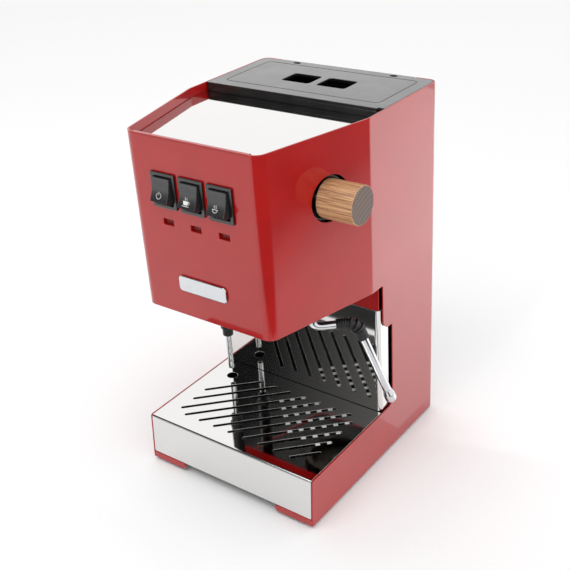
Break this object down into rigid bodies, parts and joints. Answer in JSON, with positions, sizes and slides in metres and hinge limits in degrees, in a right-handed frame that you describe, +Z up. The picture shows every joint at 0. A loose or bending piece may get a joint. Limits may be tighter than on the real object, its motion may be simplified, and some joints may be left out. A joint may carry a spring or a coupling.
{
  "type": "espresso machine",
  "caption": "Compact home espresso machine: bent-steel body with a cup-warming top, rocker switches, side steam knob, swinging wand and a slotted drip tray.",
  "frame": {"origin": "middle of the overall footprint, at the undersides of the rubber feet", "axes": "+X to the right of someone facing the controls (the side of the steam knob and wand), -Y towards that person, +Z up"},
  "size_m": [0.224, 0.25, 0.368],
  "materials": {
    "red_paint": "smooth gloss enamel on steel sheet",
    "polished_steel": "mirror-polished stainless steel sheet",
    "steel": "satin stainless steel",
    "chrome": "bright chrome plate",
    "black_plastic": "satin black moulding",
    "switch_black": "glossy black moulding",
    "rubber": "matt black rubber",
    "aluminium": "cast and machined aluminium",
    "brass": "machined brass",
    "walnut": "oiled walnut, grain along the knob",
    "lamp_lens": "dull translucent plastic",
    "zinc_steel": "zinc-plated steel",
    "natural_plastic": "milky plastic",
    "tank_plastic": "smoked plastic"
  },
  "bodies": {
    "chassis": {"body_shell": "red_paint", "rear_apron": "red_paint", "bay_ceiling": "black_plastic", "back_panel": "black_plastic", "top_frame": "black_plastic", "tank_funnel": "black_plastic", "funnel_spout": "black_plastic", "power_switch_bezel": "black_plastic", "brew_switch_bezel": "black_plastic", "steam_switch_bezel": "black_plastic", "knob_sleeve": "black_plastic", "solenoid_body": "black_plastic", "pump_body": "black_plastic", "mains_inlet": "black_plastic", "base_floor": "zinc_steel", "frame_screw_left": "zinc_steel", "frame_screw_right": "zinc_steel", "brew_thermostat": "zinc_steel", "steam_thermostat": "zinc_steel", "pump_bracket": "zinc_steel", "foot_front_left": "rubber", "foot_front_right": "rubber", "foot_rear_left": "rubber", "foot_rear_right": "rubber", "drain_boot": "rubber", "group_gasket": "rubber", "cup_plate": "polished_steel", "splash_panel": "polished_steel", "water_tank": "tank_plastic", "power_lamp_lens": "lamp_lens", "brew_lamp_lens": "lamp_lens", "steam_lamp_lens": "lamp_lens", "badge_plaque": "chrome", "steam_pipe": "chrome", "wand_nut": "chrome", "drain_tube": "chrome", "group_head": "chrome", "shower_screen": "steel", "screen_screw": "steel", "steam_valve_body": "brass", "dispersion_plate": "brass", "boiler_lower": "aluminium", "boiler_upper": "aluminium", "suction_hose": "natural_plastic", "return_hose": "natural_plastic", "terminal_block": "natural_plastic"},
    "power_rocker": {"power_switch_rocker": "switch_black"},
    "brew_rocker": {"brew_switch_rocker": "switch_black"},
    "steam_rocker": {"steam_switch_rocker": "switch_black"},
    "knob": {"steam_knob": "walnut", "valve_spindle": "steel"},
    "needle": {"valve_needle": "steel"},
    "wand": {"wand_tube": "chrome", "wand_grip": "rubber", "wand_nozzle": "steel"},
    "tray": {"drip_tray": "black_plastic"},
    "tray_cover": {"drip_cover": "polished_steel"},
    "lid": {"tank_lid": "black_plastic"},
    "pump_rod": {"pump_piston": "steel"},
    "valve_plunger": {"solenoid_plunger": "steel"}
  },
  "joints": [
    {"name": "power_switch_rock", "type": "hinge", "parent": "chassis", "child": "power_rocker", "pos_m": [-0.04282, -0.1143, 0.3198], "axis": [1, 0, 0], "range_deg": [0, 34]},
    {"name": "brew_switch_rock", "type": "hinge", "parent": "chassis", "child": "brew_rocker", "pos_m": [-0.01152, -0.1143, 0.3198], "axis": [1, 0, 0], "range_deg": [0, 34]},
    {"name": "steam_switch_rock", "type": "hinge", "parent": "chassis", "child": "steam_rocker", "pos_m": [0.01978, -0.1143, 0.3198], "axis": [1, 0, 0], "range_deg": [0, 34]},
    {"name": "steam_knob_turn", "type": "hinge", "parent": "chassis", "child": "knob", "pos_m": [0.08948, -0.043, 0.3095], "axis": [1, 0, 0], "range_deg": [0, 450]},
    {"name": "needle_lift", "type": "slide", "parent": "chassis", "child": "needle", "axis": [1, 0, 0], "range_m": [0, 0.0024]},
    {"name": "wand_swing", "type": "hinge", "parent": "chassis", "child": "wand", "pos_m": [0.04948, -0.04, 0.193], "axis": [0, 0, 1], "range_deg": [-95, 0]},
    {"name": "tray_pull", "type": "slide", "parent": "chassis", "child": "tray", "axis": [0, -1, 0], "range_m": [0, 0.11]},
    {"name": "tray_cover_lift", "type": "slide", "parent": "tray", "child": "tray_cover", "axis": [0, 0, 1], "range_m": [0, 0.038]},
    {"name": "lid_lift", "type": "slide", "parent": "chassis", "child": "lid", "axis": [0, 0, 1], "range_m": [0, 0.06]},
    {"name": "pump_rod_stroke", "type": "slide", "parent": "chassis", "child": "pump_rod", "axis": [1, 0, 0], "range_m": [-0.003, 0.003], "stiffness_N_per_m": 600},
    {"name": "valve_plunger_lift", "type": "slide", "parent": "chassis", "child": "valve_plunger", "axis": [0, 0, 1], "range_m": [0, 0.004], "stiffness_N_per_m": 400, "springref_m": -0.002}
  ],
  "couplings": [
    {"joint": "needle_lift", "follows": "steam_knob_turn", "m_per_rad": 0.00023873}
  ]
}
